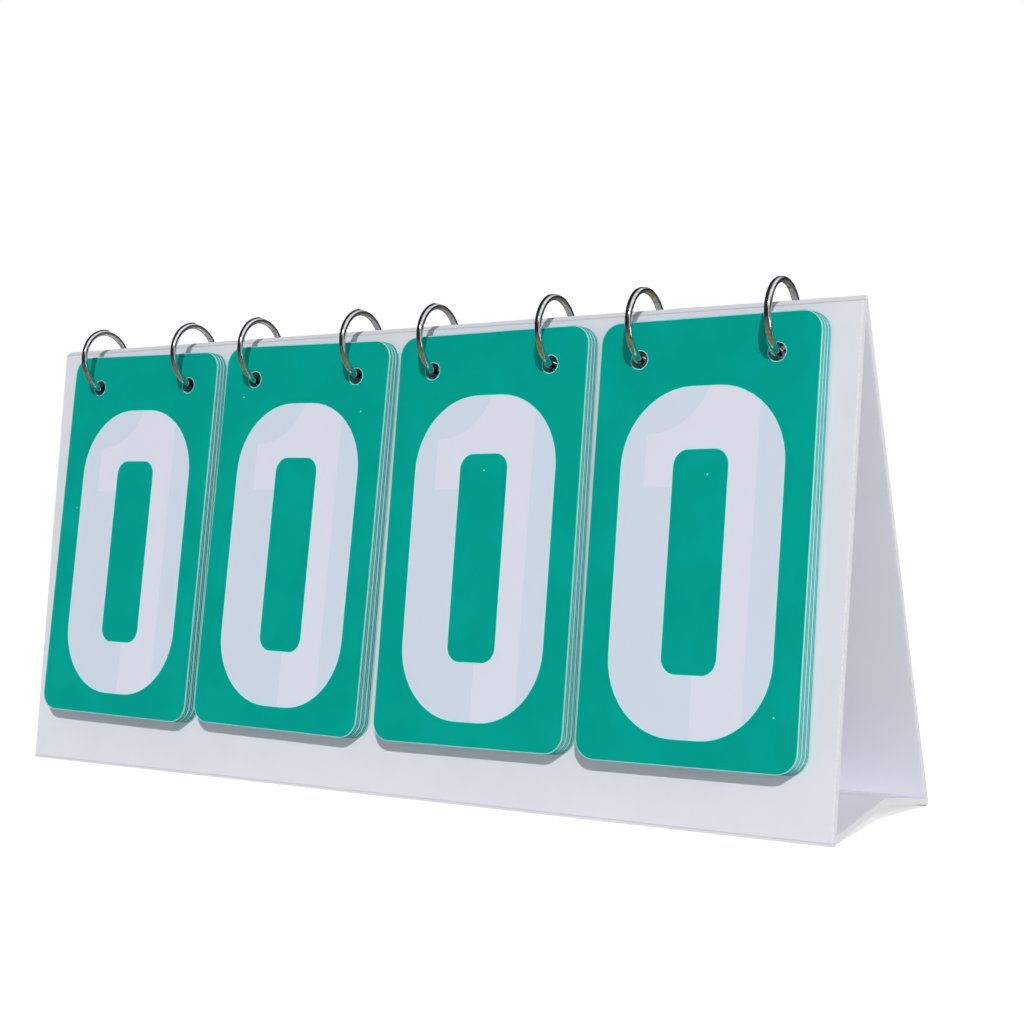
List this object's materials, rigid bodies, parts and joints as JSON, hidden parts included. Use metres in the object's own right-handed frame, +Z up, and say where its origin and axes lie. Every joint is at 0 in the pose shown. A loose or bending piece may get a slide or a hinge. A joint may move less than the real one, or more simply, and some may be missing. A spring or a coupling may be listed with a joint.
{
  "type": "tabletop flip scoreboard",
  "caption": "Folded board stand with a sloping front from which four stacks of digit cards hang on hinged binder rings, to show a score by flipping cards",
  "frame": {"origin": "on the table, at mid width, under the middle of the front board's foot, where the mount table_face lies", "axes": "+X along the ridge to the right as seen from the front, +Y from the front to the rear, +Z up"},
  "size_m": [0.38, 0.0993, 0.1905],
  "materials": {
    "stand_board": "satin paper wrap",
    "card_plastic": "satin",
    "ring_wire": "polished nickel"
  },
  "bodies": {
    "stand": {"front_panel": "stand_board", "spine_strip": "stand_board", "base_web": "stand_board"},
    "rear_leaf": {"rear_panel": "stand_board"},
    "pack_1": {"card_1_1": "card_plastic", "card_1_2": "card_plastic", "card_1_3": "card_plastic", "card_1_4": "card_plastic", "card_1_5": "card_plastic", "card_1_6": "card_plastic", "card_1_7": "card_plastic", "card_1_8": "card_plastic", "card_1_9": "card_plastic"},
    "front_card_1": {"card_1_0": "card_plastic"},
    "ring_1_left": {"ring_1_left_front": "ring_wire"},
    "ring_1_left_half": {"ring_1_left_rear": "ring_wire"},
    "ring_1_right": {"ring_1_right_front": "ring_wire"},
    "ring_1_right_half": {"ring_1_right_rear": "ring_wire"},
    "pack_2": {"card_2_1": "card_plastic", "card_2_2": "card_plastic", "card_2_3": "card_plastic", "card_2_4": "card_plastic", "card_2_5": "card_plastic", "card_2_6": "card_plastic", "card_2_7": "card_plastic", "card_2_8": "card_plastic", "card_2_9": "card_plastic"},
    "front_card_2": {"card_2_0": "card_plastic"},
    "ring_2_left": {"ring_2_left_front": "ring_wire"},
    "ring_2_left_half": {"ring_2_left_rear": "ring_wire"},
    "ring_2_right": {"ring_2_right_front": "ring_wire"},
    "ring_2_right_half": {"ring_2_right_rear": "ring_wire"},
    "pack_3": {"card_3_1": "card_plastic", "card_3_2": "card_plastic", "card_3_3": "card_plastic", "card_3_4": "card_plastic", "card_3_5": "card_plastic", "card_3_6": "card_plastic", "card_3_7": "card_plastic", "card_3_8": "card_plastic", "card_3_9": "card_plastic"},
    "front_card_3": {"card_3_0": "card_plastic"},
    "ring_3_left": {"ring_3_left_front": "ring_wire"},
    "ring_3_left_half": {"ring_3_left_rear": "ring_wire"},
    "ring_3_right": {"ring_3_right_front": "ring_wire"},
    "ring_3_right_half": {"ring_3_right_rear": "ring_wire"},
    "pack_4": {"card_4_1": "card_plastic", "card_4_2": "card_plastic", "card_4_3": "card_plastic", "card_4_4": "card_plastic", "card_4_5": "card_plastic", "card_4_6": "card_plastic", "card_4_7": "card_plastic", "card_4_8": "card_plastic", "card_4_9": "card_plastic"},
    "front_card_4": {"card_4_0": "card_plastic"},
    "ring_4_left": {"ring_4_left_front": "ring_wire"},
    "ring_4_left_half": {"ring_4_left_rear": "ring_wire"},
    "ring_4_right": {"ring_4_right_front": "ring_wire"},
    "ring_4_right_half": {"ring_4_right_rear": "ring_wire"}
  },
  "joints": [
    {"name": "stand_fold", "type": "hinge", "parent": "stand", "child": "rear_leaf", "pos_m": [0, 0.02418, 0.1827], "axis": [1, 0, 0], "range_deg": [-14, 0], "deforming": ["base_web"]},
    {"name": "pack_1_lift", "type": "hinge", "parent": "stand", "child": "pack_1", "pos_m": [-0.1346, 0.01753, 0.1764], "axis": [0.9999, -0.0019, -0.0156], "range_deg": [-180, 0]},
    {"name": "front_card_1_lift", "type": "hinge", "parent": "pack_1", "child": "front_card_1", "pos_m": [-0.1346, 0.0187, 0.17769], "axis": [-0.9999, 0.0019, 0.0156], "range_deg": [0, 90]},
    {"name": "ring_1_left_turn", "type": "hinge", "parent": "stand", "child": "ring_1_left", "pos_m": [-0.16105, 0.01753, 0.1764], "axis": [1, 0, 0], "range_deg": [-350, 0]},
    {"name": "ring_1_left_open", "type": "hinge", "parent": "ring_1_left", "child": "ring_1_left_half", "pos_m": [-0.16105, 0.01909, 0.1637], "axis": [-1, 0, 0], "range_deg": [0, 12]},
    {"name": "ring_1_right_turn", "type": "hinge", "parent": "stand", "child": "ring_1_right", "pos_m": [-0.10815, 0.01753, 0.1764], "axis": [1, 0, 0], "range_deg": [-350, 0]},
    {"name": "ring_1_right_open", "type": "hinge", "parent": "ring_1_right", "child": "ring_1_right_half", "pos_m": [-0.10815, 0.01909, 0.1637], "axis": [-1, 0, 0], "range_deg": [0, 12]},
    {"name": "pack_2_lift", "type": "hinge", "parent": "stand", "child": "pack_2", "pos_m": [-0.0444, 0.01753, 0.1764], "axis": [0.9998, -0.0022, -0.0173], "range_deg": [-180, 0]},
    {"name": "front_card_2_lift", "type": "hinge", "parent": "pack_2", "child": "front_card_2", "pos_m": [-0.0444, 0.0187, 0.17769], "axis": [-0.9998, 0.0022, 0.0173], "range_deg": [0, 90]},
    {"name": "ring_2_left_turn", "type": "hinge", "parent": "stand", "child": "ring_2_left", "pos_m": [-0.07085, 0.01753, 0.1764], "axis": [1, 0, 0], "range_deg": [-350, 0]},
    {"name": "ring_2_left_open", "type": "hinge", "parent": "ring_2_left", "child": "ring_2_left_half", "pos_m": [-0.07085, 0.01909, 0.1637], "axis": [-1, 0, 0], "range_deg": [0, 12]},
    {"name": "ring_2_right_turn", "type": "hinge", "parent": "stand", "child": "ring_2_right", "pos_m": [-0.01795, 0.01753, 0.1764], "axis": [1, 0, 0], "range_deg": [-350, 0]},
    {"name": "ring_2_right_open", "type": "hinge", "parent": "ring_2_right", "child": "ring_2_right_half", "pos_m": [-0.01795, 0.01909, 0.1637], "axis": [-1, 0, 0], "range_deg": [0, 12]},
    {"name": "pack_3_lift", "type": "hinge", "parent": "stand", "child": "pack_3", "pos_m": [0.0458, 0.01753, 0.1764], "axis": [1, 0.0006, 0.0052], "range_deg": [-180, 0]},
    {"name": "front_card_3_lift", "type": "hinge", "parent": "pack_3", "child": "front_card_3", "pos_m": [0.0458, 0.0187, 0.17769], "axis": [-1, -0.0006, -0.0052], "range_deg": [0, 90]},
    {"name": "ring_3_left_turn", "type": "hinge", "parent": "stand", "child": "ring_3_left", "pos_m": [0.01935, 0.01753, 0.1764], "axis": [1, 0, 0], "range_deg": [-350, 0]},
    {"name": "ring_3_left_open", "type": "hinge", "parent": "ring_3_left", "child": "ring_3_left_half", "pos_m": [0.01935, 0.01909, 0.1637], "axis": [-1, 0, 0], "range_deg": [0, 12]},
    {"name": "ring_3_right_turn", "type": "hinge", "parent": "stand", "child": "ring_3_right", "pos_m": [0.07225, 0.01753, 0.1764], "axis": [1, 0, 0], "range_deg": [-350, 0]},
    {"name": "ring_3_right_open", "type": "hinge", "parent": "ring_3_right", "child": "ring_3_right_half", "pos_m": [0.07225, 0.01909, 0.1637], "axis": [-1, 0, 0], "range_deg": [0, 12]},
    {"name": "pack_4_lift", "type": "hinge", "parent": "stand", "child": "pack_4", "pos_m": [0.136, 0.01753, 0.1764], "axis": [1, 0.0006, 0.0052], "range_deg": [-180, 0]},
    {"name": "front_card_4_lift", "type": "hinge", "parent": "pack_4", "child": "front_card_4", "pos_m": [0.136, 0.0187, 0.17769], "axis": [-1, -0.0006, -0.0052], "range_deg": [0, 90]},
    {"name": "ring_4_left_turn", "type": "hinge", "parent": "stand", "child": "ring_4_left", "pos_m": [0.10955, 0.01753, 0.1764], "axis": [1, 0, 0], "range_deg": [-350, 0]},
    {"name": "ring_4_left_open", "type": "hinge", "parent": "ring_4_left", "child": "ring_4_left_half", "pos_m": [0.10955, 0.01909, 0.1637], "axis": [-1, 0, 0], "range_deg": [0, 12]},
    {"name": "ring_4_right_turn", "type": "hinge", "parent": "stand", "child": "ring_4_right", "pos_m": [0.16245, 0.01753, 0.1764], "axis": [1, 0, 0], "range_deg": [-350, 0]},
    {"name": "ring_4_right_open", "type": "hinge", "parent": "ring_4_right", "child": "ring_4_right_half", "pos_m": [0.16245, 0.01909, 0.1637], "axis": [-1, 0, 0], "range_deg": [0, 12]}
  ]
}
